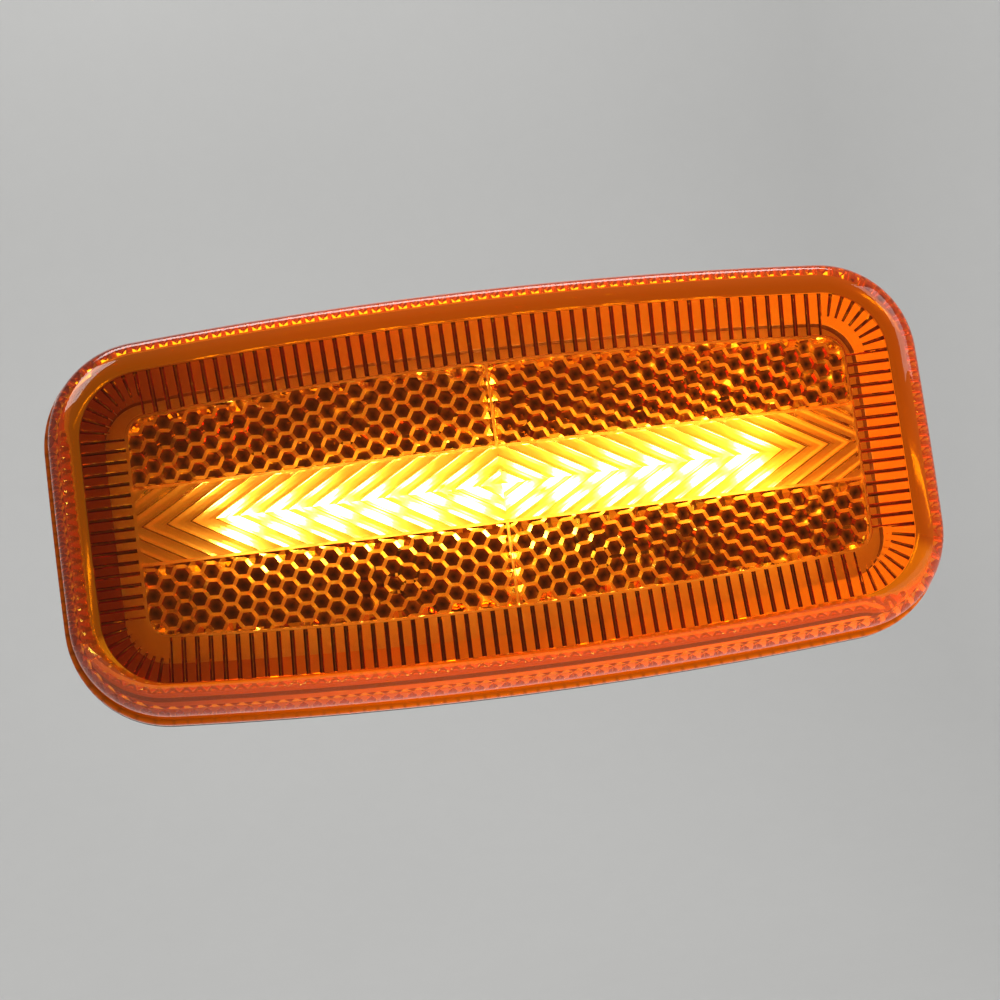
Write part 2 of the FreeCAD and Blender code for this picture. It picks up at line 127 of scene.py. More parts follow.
def grained(name, colour, shade, grain, patch, rough, bump, metal=0.0):
    """Material with the grain group feeding colour, roughness and normal."""
    material = bpy.data.materials.new(name)
    material.use_nodes = True
    tree = material.node_tree
    shader = tree.nodes["Principled BSDF"]
    effect = tree.nodes.new("ShaderNodeGroup")
    effect.node_tree = grain_group
    for socket, value in (
        ("Colour", (*colour, 1)),
        ("Shade", shade),
        ("Grain Scale", grain),
        ("Patch Scale", patch),
        ("Rough Low", rough[0]),
        ("Rough High", rough[1]),
        ("Bump", bump),
    ):
        effect.inputs[socket].default_value = value
    tree.links.new(effect.outputs["Colour"], shader.inputs["Base Color"])
    tree.links.new(effect.outputs["Roughness"], shader.inputs["Roughness"])
    tree.links.new(effect.outputs["Normal"], shader.inputs["Normal"])
    shader.inputs["Metallic"].default_value = metal
    return material


def finish_node(name, material):
    """The CAD node shows in this material."""
    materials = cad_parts[name].data.materials
    materials.clear()
    materials.append(material)


black_plastic = grained(
    "black_spark_plastic", (0.022, 0.022, 0.024),
    shade=0.3, grain=2600, patch=55, rough=(0.42, 0.62), bump=0.35,
)
finish_node("housing", black_plastic)

# Gasket: a ring of closed-cell foam stuck to the back of the flange, which
# seals against the painted panel.
foam = grained(
    "closed_cell_foam", (0.045, 0.045, 0.047),
    shade=0.35, grain=1500, patch=90, rough=(0.85, 0.98), bump=0.9,
)
finish_node("gasket", foam)


# Rear socket: a glass-filled nylon shell pushed through the back wall, with a
# silicone seal under its collar and two tinned brass blades moulded in. The
# blades' tails stand in front of the board, and the diodes' light on them is
# painted as a warm glow of their own.
def object_place(tree):
    """X, Y and Z outputs of the Object coordinates."""
    place = add_node(tree, "TexCoord", {}).outputs["Object"]
    return add_node(tree, "SeparateXYZ", {0: place}).outputs


def ramp_node(tree, value, stops, easing="EASE"):
    """Colour output of a ramp through (place, colour) stops, read at the value."""
    ramp = add_node(tree, "ValToRGB", {"Fac": value})
    ramp.color_ramp.interpolation = easing
    while len(ramp.color_ramp.elements) < len(stops):
        ramp.color_ramp.elements.new(0.5)
    for element, (place, colour) in zip(ramp.color_ramp.elements, stops):
        element.position = place
        element.color = (*colour, 1)
    return ramp.outputs["Color"]


def light_up(material, colour, strength):
    """The material gives light of its own, of one colour or a node's colours."""
    tree = material.node_tree
    shader = tree.nodes["Principled BSDF"]
    if isinstance(colour, bpy.types.NodeSocket):
        tree.links.new(colour, shader.inputs["Emission Color"])
    else:
        shader.inputs["Emission Color"].default_value = (*colour, 1)
    shader.inputs["Emission Strength"].default_value = strength
    material.cycles.emission_sampling = "NONE"


nylon = grained(
    "socket_nylon", (0.035, 0.036, 0.039),
    shade=0.25, grain=1800, patch=70, rough=(0.34, 0.5), bump=0.15,
)
finish_node("connector_shell", nylon)
silicone = grained(
    "silicone_seal", (0.36, 0.07, 0.025),
    shade=0.2, grain=900, patch=80, rough=(0.5, 0.65), bump=0.1,
)
finish_node("connector_seal", silicone)
tinned = grained(
    "tinned_blade", (0.72, 0.70, 0.66),
    shade=0.12, grain=700, patch=140, rough=(0.22, 0.42), bump=0.08, metal=1.0,
)
dark = (0.0, 0.0, 0.0)
tail_y = -0.0019
tree = tinned.node_tree
# Painted glow: the blade tails in front of the board give warm light of their own.
on_tail = math_node(tree, "LESS_THAN", object_place(tree)["Y"], tail_y)
light_up(tinned, ramp_node(tree, on_tail, ((0.0, dark), (1.0, (1.0, 0.75, 0.32)))), 3.0)
for name in ("terminal_left", "terminal_right"):
    finish_node(name, tinned)

# Reflector frame: a white moulded ring on the ledge round the board. Its front
# face carries a painted glow that stands in for the stray light it throws
# forward, so the flute ring in front of it glows, more towards the right end.
# Its left end and its inner skirt carry a painted reddish shade in the base colour.
frame_white = grained(
    "white_reflector", (0.82, 0.81, 0.77),
    shade=0.06, grain=1600, patch=110, rough=(0.35, 0.5), bump=0.08,
)
frame_low, frame_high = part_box("reflector_frame")
front_skin = 0.0002
tree = frame_white.node_tree
place = object_place(tree)
on_front = math_node(tree, "LESS_THAN", place["Y"], frame_low[1] + front_skin)
along_frame = math_node(tree, "MULTIPLY_ADD", place["X"], 0.5 / frame_high[0], 0.5)
# Painted glow on the front face: dim at the left end, brightest at the right.
front_light = ramp_node(tree, along_frame, (
    (0.0, (0.02, 0.004, 0.0008)),
    (0.5, (0.40, 0.084, 0.012)),
    (1.0, (0.95, 0.25, 0.024)),
))
light_up(frame_white, vector_node(tree, "SCALE", front_light, on_front), 1.0)
unshaded = (1.0, 1.0, 1.0)
# Painted shade: the inner skirt and the left end are darkened and reddened in the base colour.
skirt_shade = ramp_node(tree, on_front, ((0.0, (0.34, 0.11, 0.10)), (1.0, unshaded)))
left_shade = ramp_node(tree, along_frame, (
    (0.0, (0.42, 0.10, 0.10)),
    (0.3, (0.9, 0.6, 0.6)),
    (0.5, unshaded),
))
base_colour = tree.nodes["Principled BSDF"].inputs["Base Color"]
shaded = vector_node(tree, "MULTIPLY", base_colour.links[0].from_socket, skirt_shade)
tree.links.new(vector_node(tree, "MULTIPLY", shaded, left_shade), base_colour)
finish_node("reflector_frame", frame_white)

# Circuit board: white-masked glass-fibre board that fills the tub. The diodes'
# light on it is painted as a glow of its own: a hot spot round each one, falling
# off towards its edge and past the ends of the row, and brighter towards the
# right end.
board_white = grained(
    "white_solder_mask", (0.80, 0.80, 0.76),
    shade=0.06, grain=1400, patch=120, rough=(0.35, 0.5), bump=0.05,
)
led_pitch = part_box("led_02")[0][0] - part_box("led_01")[0][0]
row_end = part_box("led_12")[1][0]
row_margin = 0.0015
halo_reach = 0.006
glow_reach = 0.022
end_fall = 1.75
tree = board_white.node_tree
place = object_place(tree)
from_middle = math_node(tree, "ABSOLUTE", place["X"])
square_z = math_node(tree, "MULTIPLY", place["Z"], place["Z"])
part_x = math_node(tree, "FRACT", math_node(tree, "DIVIDE", place["X"], led_pitch))
off_x = math_node(tree, "MULTIPLY", math_node(tree, "SUBTRACT", part_x, 0.5), led_pitch)
square_x = math_node(tree, "MULTIPLY", off_x, off_x)
off_led = math_node(tree, "SQRT", math_node(tree, "ADD", square_x, square_z))
past_row = math_node(tree, "GREATER_THAN", from_middle, row_end + row_margin)
off_led = math_node(tree, "ADD", off_led, past_row)
# Painted hot spot round each diode.
halo = ramp_node(tree, math_node(tree, "DIVIDE", off_led, halo_reach), (
    (0.30, (0.50, 0.68, 1.0)),
    (0.44, (0.22, 0.20, 0.14)),
    (0.60, (0.035, 0.026, 0.009)),
    (1.0, dark),
))
beyond = math_node(tree, "MAXIMUM", math_node(tree, "SUBTRACT", from_middle, row_end), 0.0)
beyond = math_node(tree, "MULTIPLY", beyond, end_fall)
square_beyond = math_node(tree, "MULTIPLY", beyond, beyond)
off_row = math_node(tree, "SQRT", math_node(tree, "ADD", square_z, square_beyond))
# Painted glow of the whole row, falling off towards the edge and past the ends.
glow = ramp_node(tree, math_node(tree, "DIVIDE", off_row, glow_reach), (
    (0.0, (0.038, 0.027, 0.010)),
    (0.22, (0.044, 0.025, 0.0075)),
    (0.5, (0.016, 0.0078, 0.0022)),
    (0.8, (0.0105, 0.0031, 0.0007)),
    (1.0, (0.006, 0.0017, 0.0004)),
))
board_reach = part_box("circuit_board")[1][0]
along_board = math_node(tree, "MULTIPLY_ADD", place["X"], 0.5 / board_reach, 0.5)
# The painted glow leans brighter towards the right end.
lean = ramp_node(tree, along_board, (
    (0.0, (0.22, 0.17, 0.14)),
    (0.5, (0.5, 0.5, 0.5)),
    (1.0, (0.84, 0.86, 0.8)),
))
leaning = vector_node(tree, "SCALE", vector_node(tree, "MULTIPLY", glow, lean), 2.0)
light_up(board_white, vector_node(tree, "ADD", halo, leaning), 40.0)
finish_node("circuit_board", board_white)

# Board screws: four zinc-plated screws that hold the board down on the
# housing's posts.
zinc = grained(
    "zinc_plate", (0.62, 0.62, 0.60),
    shade=0.15, grain=800, patch=200, rough=(0.25, 0.45), bump=0.1, metal=1.0,
)
finish_node("board_screws", zinc)

# Small parts soldered to the board: glazed resistors with tinned ends, a
# moulded driver chip, a protection diode and a capacitor in an aluminium can.
glaze = grained(
    "resistor_glaze", (0.03, 0.03, 0.034),
    shade=0.3, grain=1200, patch=300, rough=(0.2, 0.35), bump=0.05,
)
for count in range(1, 7):
    finish_node("resistor_%d" % count, glaze)
epoxy = grained(
    "moulded_epoxy", (0.028, 0.028, 0.03),
    shade=0.25, grain=2400, patch=300, rough=(0.5, 0.65), bump=0.2,
)
finish_node("driver_chip", epoxy)
finish_node("protection_diode", epoxy)
can = grained(
    "capacitor_can", (0.74, 0.75, 0.77),
    shade=0.1, grain=900, patch=250, rough=(0.25, 0.4), bump=0.05, metal=1.0,
)
finish_node("capacitor", can)

# Light diodes: twelve white moulded cups soldered in a row, each filled with a
# crowned pad of yellow resin that lights up.
cup_white = grained(
    "diode_cup", (0.86, 0.84, 0.76),
    shade=0.05, grain=1500, patch=300, rough=(0.4, 0.55), bump=0.05,
)
light_up(cup_white, (0.45, 0.62, 1.0), 80.0)
led_names = ["led_%02d" % count for count in range(1, 13)]
for name in led_names:
    finish_node(name, cup_white)
led_low, led_high = (np.array(corners) for corners in zip(*(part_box(name) for name in led_names)))


def mesh_object(name, points, faces, material, smooth_angle):
    """Object at the origin from an array of points and a list of faces, smooth
    except where two faces meet at more than the angle."""
    mesh = bpy.data.meshes.new(name)
    mesh.from_pydata(points.tolist(), [], faces)
    mesh.polygons.foreach_set("use_smooth", np.ones(len(mesh.polygons), dtype=bool))
    mesh.set_sharp_from_angle(angle=math.radians(smooth_angle))
    mesh.materials.append(material)
    mesh.update()
    piece = bpy.data.objects.new(name, mesh)
    bpy.context.scene.collection.objects.link(piece)
    return piece


def resin_pads(low, high, rings=7, spokes=32):
    """One crowned pad per diode. Ring r and spoke a give a squared circle,
    x = rx r cos a, z = rz r sin a with both drawn towards a rounded square, and
    the crown stands (1 - r squared) of its height in front of the pad's rim,
    which is sunk into the cup. A wall goes back from the rim to the foot."""
    reach_x, reach_z = 0.00106, 0.00091
    crown_height, sunk, foot = 0.0001, 0.00012, 0.0003
    r = np.linspace(1, 0.02, rings)[:, None]
    a = np.linspace(0, 2 * np.pi, spokes, endpoint=False)[None, :]
    square = (np.abs(np.cos(a)) ** 4 + np.abs(np.sin(a)) ** 4) ** -0.25
    x = reach_x * r * square * np.cos(a)
    z = reach_z * r * square * np.sin(a)
    y = -crown_height * (1 - r ** 2) + 0 * a + sunk
    x = np.vstack([x[:1], x])
    z = np.vstack([z[:1], z])
    y = np.vstack([np.full((1, spokes), foot), y])
    one = np.stack([x, y, z], axis=-1).reshape(-1, 3)
    centre = (low + high) / 2
    offset = np.stack([centre[:, 0], low[:, 1], centre[:, 2]], axis=1)
    points = (one[None] + offset[:, None]).reshape(-1, 3)
    row = np.arange(rings)[:, None] * spokes
    step = np.arange(spokes)[None, :]
    after = (step + 1) % spokes
    quads = np.stack([row + step, row + spokes + step, row + spokes + after, row + after], axis=-1)
    front = np.arange(spokes)[::-1] + rings * spokes
    rear = np.arange(spokes)
    start = np.arange(len(centre))[:, None, None] * len(one)
    faces = (quads.reshape(1, -1, 4) + start).reshape(-1, 4).tolist()
    faces += (front[None] + start[:, 0]).tolist() + (rear[None] + start[:, 0]).tolist()
    return points, faces


resin = grained(
    "lit_yellow_resin", (0.95, 0.72, 0.2),
    shade=0.08, grain=3000, patch=900, rough=(0.3, 0.4), bump=0.05,
)
light_up(resin, (0.32, 0.52, 1.0), 250.0)
points, faces = resin_pads(led_low, led_high)
pads = mesh_object("diode_resin_pads", points, faces, resin, smooth_angle=40)
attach(pads, "root")

# Lens: one amber moulding, welded into the flange by its tongue. Outside it is
# smooth with a round front edge and a thin lip; inside it carries a ring of
# pillow flutes, four fields of hexagon reflex cells and a band of chevron ribs.
lens_low, lens_high = (np.array(corner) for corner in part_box("lens"))
half_length = lens_high[0]
half_height = lens_high[2]
long_radius, short_radius, corner_radius = 0.600, 0.850, 0.014
flutes_long, flutes_short, flutes_corner = 52, 16, 8
face_wall = 0.003
tongue_depth = 0.001
tongue_outer, tongue_inner = 0.0014, 0.0026
lip_height, lip_inset, lip_round = 0.0012, 0.0007, 0.0002
face_y = lens_low[1]
ceiling = face_y + face_wall
foot_y = lens_high[1] - tongue_depth
lip_y = foot_y - lip_height
edge_round = 0.0044
wall_inset = 0.0008
skirt_inset = 0.0032
bevel = 0.0019
flute_start = 0.0052
fade_start, fade_end = 0.0068, 0.0090
flute_height = 0.0007
groove_depth = 0.00055
dent_depth = 0.0005
field_inset = 0.011
land = 0.0004
band_half = 0.0051
field_end = half_length - field_inset - land
cell_pitch = 0.00229
cell_gap = 0.00048
cell_base = 0.00035
rib_pitch = 0.0032
rib_slope = 1 / math.tan(math.radians(30))
rib_base = 0.0003

# Centre of the round corner, where circles about the centres of the long and
# the short side, each drawn in by the corner's radius, cross.
long_z = half_height - long_radius
short_x = half_length - short_radius
between = math.hypot(short_x, long_z)
long_reach = long_radius - corner_radius
short_reach = short_radius - corner_radius
foot_along = (long_reach ** 2 - short_reach ** 2 + between ** 2) / (2 * between)
foot_off = math.sqrt(long_reach ** 2 - foot_along ** 2)
corner_x = (short_x * foot_along - long_z * foot_off) / between
corner_z = long_z + (-long_z * foot_along - short_x * foot_off) / between
long_angle = math.atan2(corner_z - long_z, corner_x)
short_angle = math.atan2(corner_z, corner_x - short_x)


def flute_columns(across):
    """Columns round the lens, eight arcs in turn, each arc cut into its flutes
    and each flute at the places across: arc centre, radius and angle of every
    column, its place across the flute from 0 to 1, and 1 on a corner arc."""
    pi = math.pi
    right, upper = (short_x, 0.0, short_radius), (0.0, long_z, long_radius)
    left, lower = (-short_x, 0.0, short_radius), (0.0, -long_z, long_radius)
    arcs = (
        (right, -short_angle, short_angle, flutes_short, 0),
        ((corner_x, corner_z, corner_radius), short_angle, long_angle, flutes_corner, 1),
        (upper, long_angle, pi - long_angle, flutes_long, 0),
        ((-corner_x, corner_z, corner_radius), pi - long_angle, pi - short_angle, flutes_corner, 1),
        (left, pi - short_angle, pi + short_angle, flutes_short, 0),
        ((-corner_x, -corner_z, corner_radius), pi + short_angle, pi + long_angle, flutes_corner, 1),
        (lower, pi + long_angle, 2 * pi - long_angle, flutes_long, 0),
        ((corner_x, -corner_z, corner_radius), 2 * pi - long_angle, 2 * pi - short_angle, flutes_corner, 1),
    )
    columns = []
    for (x, z, radius), start, end, flutes, corner in arcs:
        t = (np.arange(flutes)[:, None] + np.array(across)[None, :]).ravel()
        angle = start + (end - start) * t / flutes
        columns.append(np.stack([x + 0 * t, z + 0 * t, radius + 0 * t, angle, t % 1.0, corner + 0 * t]))
    return np.concatenate(columns, axis=1)


def plain_rows(*pairs):
    """Rows of (inset, y) with neither dents nor flutes."""
    return [(inset, y, 0, 0) for inset, y in pairs]


def lens_wall(across=(0.0, 0.06, 0.12, 0.17, 0.5, 0.83, 0.88, 0.94)):
    """Closed wall of the lens round its edge. Rows of (inset, y, dent, flute)
    are carried round the columns: a point lies at radius minus inset from its
    arc's centre. A dent draws the inset back near both sides of a flute, and a
    flute draws y forward by the groove curve, which is a shallow pillow with a
    steep groove at its sides and fades out towards the field in the corners.
    Also gives the painted edge glow of every point, standing in for the diodes'
    light carried by the moulding: strong on the lip, fainter inside the skirt but
    for the dents, and rising over the round edge outwards."""
    x0, z0, radius, angle, across_flute, corner = flute_columns(across)
    side = np.abs(2 * across_flute - 1)
    groove = 0.06 * side ** 2 + 0.94 * np.clip((side - 0.66) / 0.30, 0, 1)
    dented = np.clip((side - 0.55) / 0.2, 0, 1)
    turn = np.linspace(0, np.pi / 2, 10)
    round_edge = zip(flute_start - edge_round * np.sin(turn), face_y + edge_round * (1 - np.cos(turn)))
    tongue_y = foot_y + 0.95 * tongue_depth
    rows = plain_rows((flute_start + 0.0010, face_y), (flute_start + 0.0004, face_y), *round_edge)
    rows += plain_rows((wall_inset, face_y + edge_round + 0.0008), (wall_inset, lip_y - 0.0002))
    rows += plain_rows((lip_inset, lip_y), (lip_round, lip_y))
    rows += plain_rows((0.3 * lip_round, lip_y + 0.3 * lip_round), (0.0, lip_y + lip_round))
    rows += plain_rows((0.0, foot_y - 0.0001), (0.0, foot_y))
    rows += plain_rows((tongue_outer, foot_y), (tongue_outer, tongue_y))
    rows += plain_rows((tongue_inner, tongue_y), (tongue_inner, foot_y))
    rows += plain_rows((skirt_inset, foot_y), (skirt_inset, lip_y))
    for top in (lip_y - 0.0002, lip_y - 0.0021):
        for below, dent in ((0.0, 0), (0.0002, 1), (0.0010, 1), (0.0012, 0)):
            rows.append((skirt_inset, top - below, dent, 0))
    for t in (0.0, 0.05, 0.95, 1.0):
        rows += plain_rows((skirt_inset + bevel * t, ceiling + bevel * (1 - t)))
    rows += plain_rows((flute_start, ceiling))
    for inset in (flute_start, fade_start, 0.0075, 0.0083, fade_end, field_inset):
        rows.append((inset, ceiling + flute_height, 0, 1))
    rows += plain_rows((field_inset, ceiling), (field_inset + land, ceiling))
    inset, y, dent, flute = (np.array(column)[:, None] for column in zip(*rows))
    fade = 1 - corner * np.clip((inset - fade_start) / (fade_end - fade_start), 0, 1)
    inset = inset - dent * dent_depth * dented
    y = y - flute * groove_depth * groove * fade
    x = x0 + (radius - inset) * np.cos(angle)
    z = z0 + (radius - inset) * np.sin(angle)
    points = np.stack([x, y + 0 * x, z], axis=-1)
    edge_rise = 0.2 * np.clip((flute_start - inset) / 0.0035, 0, 1)
    in_skirt = (inset > tongue_outer) & (inset < skirt_inset + bevel) & (y > ceiling)
    skirt_light = 0.26 * in_skirt * (1 - dent * dented)
    lip_light = 0.34 * (inset < lip_inset) * (1 - 0.6 * groove)
    light = np.clip(edge_rise + skirt_light + lip_light, 0, 1) + 0 * x
    count = points.shape[1]
    row = np.arange(points.shape[0] - 1)[:, None] * count
    step = np.arange(count)[None, :]
    after = (step + 1) % count
    quads = np.stack([row + step, row + count + step, row + count + after, row + after], axis=-1)
    front_face = np.arange(count).tolist()
    return points.reshape(-1, 3), quads.reshape(-1, 4).tolist() + [front_face], light.ravel()


def keep_inside(x, z):
    """Moves points onto the edge of the upper right reflex field where they lie
    outside it: not left of the middle land, not below the band's land, and not
    beyond the lens outline drawn in by the field's inset and its land."""
    inset = field_inset + land
    x = np.maximum(x, land / 2)
    z = np.maximum(z, band_half + land / 2)
    reach = np.hypot(x, z - long_z)
    shrink = np.minimum(1, (long_radius - inset) / reach)
    x, z = x * shrink, long_z + (z - long_z) * shrink
    reach = np.hypot(x - short_x, z)
    shrink = np.minimum(1, (short_radius - inset) / reach)
    x, z = short_x + (x - short_x) * shrink, z * shrink
    beyond = (x > corner_x) & (z > corner_z)
    reach = np.maximum(np.hypot(x - corner_x, z - corner_z), 1e-9)
    shrink = np.where(beyond, np.minimum(1, (corner_radius - inset) / reach), 1)
    return corner_x + (x - corner_x) * shrink, corner_z + (z - corner_z) * shrink


def wide_enough(points, faces, least_area):
    """The faces that keep more than the least area seen along Y, which is half
    the sum of a face's cross products. Faces pressed flat at an edge drop out."""
    x, z = points[faces][..., 0], points[faces][..., 2]
    area = 0.5 * np.abs((x * np.roll(z, -1, 1) - z * np.roll(x, -1, 1)).sum(axis=1))
    return faces[area > least_area]


def with_walls(points, quads, joined):
    """Adds a wall from every open edge straight to the ceiling plane, apart from
    edges whose two ends both satisfy the joined test. An edge is open where no
    other has the same two ends, seen along Y and rounded to 0.05 micrometres."""
    ends = np.stack([quads, np.roll(quads, -1, 1)], axis=-1).reshape(-1, 2)
    ends = ends[ends[:, 0] != ends[:, 1]]
    key = np.round(points[:, [0, 2]] * 2e7).astype(np.int64)
    first, second = key[ends[:, 0]], key[ends[:, 1]]
    same_x = first[:, 0] == second[:, 0]
    swap = (first[:, 0] > second[:, 0]) | (same_x & (first[:, 1] > second[:, 1]))
    edge_key = np.where(swap[:, None], np.hstack([second, first]), np.hstack([first, second]))
    long_enough = (first != second).any(axis=1)
    where, uses = np.unique(edge_key, axis=0, return_inverse=True, return_counts=True)[1:]
    shut = joined[ends[:, 0]] & joined[ends[:, 1]]
    edge = ends[(uses[where.ravel()] == 1) & long_enough & ~shut]
    low = points[edge].copy()
    low[..., 1] = ceiling
    start = len(points) + np.arange(len(edge)) * 2
    walls = np.stack([edge[:, 1], edge[:, 0], start, start + 1], axis=-1)
    return np.vstack([points, low.reshape(-1, 3)]), np.vstack([quads, walls])


def reflex_field(columns=27, rows=9):
    """Upper right reflex field. Every hexagon of the lattice carries the corner
    of a cube: an apex and six rim points that lie one and two steps lower in
    turn, drawn in a little from its neighbours, with narrow lands between."""
    shrink = (cell_pitch - cell_gap) / cell_pitch
    step = cell_pitch / math.sqrt(6) * shrink
    column, row = np.meshgrid(np.arange(columns), np.arange(rows), indexing="ij")
    x = column * cell_pitch * math.sqrt(3) / 2
    z = (row + 0.5 * (column % 2)) * cell_pitch
    angle = np.radians(60 * np.arange(6))
    radius = cell_pitch / math.sqrt(3) * shrink
    apex_y = ceiling + cell_base + 2 * cell_pitch / math.sqrt(6)
    rim_x = x[..., None] + radius * np.cos(angle)
    rim_z = z[..., None] + radius * np.sin(angle)
    rim_y = apex_y - step * np.array([1, 2, 1, 2, 1, 2]) + 0 * rim_x
    px = np.concatenate([x[..., None], rim_x], axis=-1)
    py = np.concatenate([apex_y + 0 * x[..., None], rim_y], axis=-1)
    pz = np.concatenate([z[..., None], rim_z], axis=-1)
    px, pz = keep_inside(px, pz)
    points = np.stack([px, py, pz], axis=-1).reshape(-1, 3)
    cell = (column * rows + row) * 7

    def near(shift_column, shift_row):
        """First point number of the neighbouring cell, or -1 past the lattice."""
        c, r = column + shift_column, row + shift_row
        inside = (c >= 0) & (c < columns) & (r >= 0) & (r < rows)
        return np.where(inside, (c * rows + r) * 7, -1)

    def strip(base, corners):
        """Faces through own rim points and rim points of the neighbours."""
        good = np.all([b >= 0 for b in base], axis=0)
        return np.stack([(b + 1 + k)[good] for b, k in zip(base, corners)], axis=-1)

    odd = column % 2
    above = near(0, 1)
    upper = near(1, odd)
    lower = near(1, odd - 1)
    rim = [cell + 1 + k for k in range(6)]
    facets = [np.stack([cell, rim[k], rim[k + 1], rim[(k + 2) % 6]], axis=-1) for k in (0, 2, 4)]
    quads = np.vstack([facet.reshape(-1, 4) for facet in facets] + [
        strip((cell, above, above, cell), (1, 5, 4, 2)),
        strip((cell, upper, upper, cell), (0, 4, 3, 1)),
        strip((cell, lower, lower, cell), (5, 3, 2, 0)),
        strip((cell, lower, upper, upper), (0, 2, 4, 4)),
        strip((cell, upper, above, above), (1, 3, 5, 5)),
    ])
    quads = wide_enough(points, quads, least_area=1e-12)
    return with_walls(points, quads, joined=np.zeros(len(points), dtype=bool))


def chevron_quarter(rib_height=0.00024, ripple_height=0.000016, valley_depth=0.00003, rise=0.004):
    """Upper right quarter of the chevron band. Grid lines run along the ribs:
    x = s minus the slope times z, kept between the middle and the end. The
    height over the base follows (x plus slope times z) over the pitch: a pillow
    with three fine ripples and a narrow valley at each side, taller past the row."""
    half = [0, 0.03, 0.06, 0.12, 0.18, 0.25, 0.31, 0.38, 0.44, 0.5]
    across = np.array(half + [1 - place for place in half[-2:0:-1]])
    top = band_half - land / 2
    ribs = int((field_end + rib_slope * top) / rib_pitch) + 1
    s = ((np.arange(ribs)[:, None] + across[None, :]) * rib_pitch).ravel()[None, :]
    z = np.linspace(0, top, 13)[:, None]
    x = np.clip(s - rib_slope * z, 0, field_end)
    place = ((x + rib_slope * z) / rib_pitch) % 1.0
    side = np.minimum(place, 1 - place)
    past_row = np.clip((x - row_end) / rise, 0, 1)
    pillow = rib_height * (1 + 0.5 * past_row) * (1 - (2 * place - 1) ** 2)
    ripple = ripple_height * np.cos(6 * np.pi * place)
    valley = valley_depth * np.clip(1 - side / 0.05, 0, 1)
    y = ceiling + rib_base + pillow + ripple - valley
    points = np.stack([x, y, z + 0 * x], axis=-1)
    count = points.shape[1]
    points = points.reshape(-1, 3)
    row = np.arange(len(z) - 1)[:, None] * count
    step = np.arange(count - 1)[None, :]
    here = row + step
    quads = np.stack([here, here + 1, here + count + 1, here + count], axis=-1).reshape(-1, 4)
    quads = wide_enough(points, quads, least_area=1e-13)
    joined = (points[:, 0] < 1e-9) | (points[:, 2] < 1e-9)
    return with_walls(points, quads, joined)


def four_quarters(points, quads):
    """The quarter and its three mirror images, faces turned where a single
    mirror has turned them over."""
    all_points, all_faces = [], []
    for number, (mx, mz) in enumerate(((1, 1), (-1, 1), (1, -1), (-1, -1))):
        all_points.append(points * np.array([mx, 1, mz]))
        turned = quads if mx * mz < 0 else quads[:, ::-1]
        all_faces.append(turned + number * len(points))
    return np.vstack(all_points), np.vstack(all_faces)


def flat_lands():
    """Plain strips left between the fields: two along the band's edges and two
    upright ones between the left and right reflex fields."""
    low, high = band_half - land / 2, band_half + land / 2
    top = half_height - field_inset - land
    corners = []
    for x0, x1, z0, z1 in (
        (-field_end, field_end, low, high),
        (-field_end, field_end, -high, -low),
        (-land / 2, land / 2, high, top),
        (-land / 2, land / 2, -top, -high),
    ):
        corners += [(x0, ceiling, z0), (x0, ceiling, z1), (x1, ceiling, z1), (x1, ceiling, z0)]
    return np.array(corners), np.arange(16).reshape(4, 4)


def caught_light(points):
    """Painted light at the points of the reflex fields, standing in for the diodes'
    light caught in the cells: none at a cell's apex, more the further a point lies
    below it, stronger towards the right end and above the band. Painted glints lie
    where two crossing waves, each a bit longer than a cell, both peak, and a random
    number makes them uneven."""
    x, y, z = points.T
    height = y - ceiling
    drop = (1 - height / height.max()) * (height > cell_base)
    lean_right = np.interp(x / half_length, (-1, 0, 1), (0.35, 0.65, 1.0))
    lean_up = np.where(z > 0, 1.0, 0.88)
    luck = np.random.default_rng(3).random(len(points))
    first_wave = 0.5 + 0.5 * np.sin(2300 * x + 900 * z)
    second_wave = 0.5 + 0.5 * np.sin(1100 * x - 2100 * z)
    hot = (first_wave * second_wave) ** 2
    return drop * lean_right * lean_up * (0.45 + 0.4 * luck ** 4 + 1.3 * hot * (0.4 + luck))


def rib_light(points, most=0.72, rise=0.003):
    """Painted light on the chevron ribs past the row of diodes, standing in for the
    light they catch: one sine arch on the flank of each rib that faces the lamp's
    end, nothing on the other."""
    x, z = points[:, 0], points[:, 2]
    place = (np.abs(x) + rib_slope * np.abs(z)) / rib_pitch
    past_row = np.clip((np.abs(x) - row_end) / rise, 0, 1)
    lean_right = np.interp(x / half_length, (-1, 1), (0.5, 1.0))
    return most * past_row * lean_right * np.clip(-np.sin(2 * np.pi * place), 0, 1)


wall_points, wall_faces, wall_light = lens_wall()
cell_points, cell_faces = four_quarters(*reflex_field())
rib_points, rib_faces = four_quarters(*chevron_quarter())
land_points, land_faces = flat_lands()
lens_points = np.vstack([wall_points, cell_points, rib_points, land_points])
lens_faces = []
start = 0
for points, faces in (
    (wall_points, wall_faces),
    (cell_points, cell_faces.tolist()),
    (rib_points, rib_faces.tolist()),
    (land_points, land_faces.tolist()),
):
    for face in faces:
        single = list(dict.fromkeys(face))
        if len(single) > 2:
            lens_faces.append([corner + start for corner in single])
    start += len(points)

lens_x, lens_y, lens_z = lens_points.T
# Painted glow of the lens: the wall's edge light and a strip along the band's lands, with a painted shade
# that dims it towards the left end.
beside_band = (np.abs(lens_y - ceiling) < 1e-6) & (np.abs(np.abs(lens_z) - band_half) < land)
edge_light = np.pad(wall_light, (0, len(lens_points) - len(wall_light))) + 0.5 * beside_band
edge_light *= np.interp(lens_x / half_length, (-1, -0.3, 1), (0.35, 1, 1))
# Painted light and glints of the reflex cells and the chevron ribs.
cell_light = np.concatenate([
    np.zeros(len(wall_points)),
    caught_light(cell_points),
    rib_light(rib_points),
    np.zeros(len(land_points)),
])

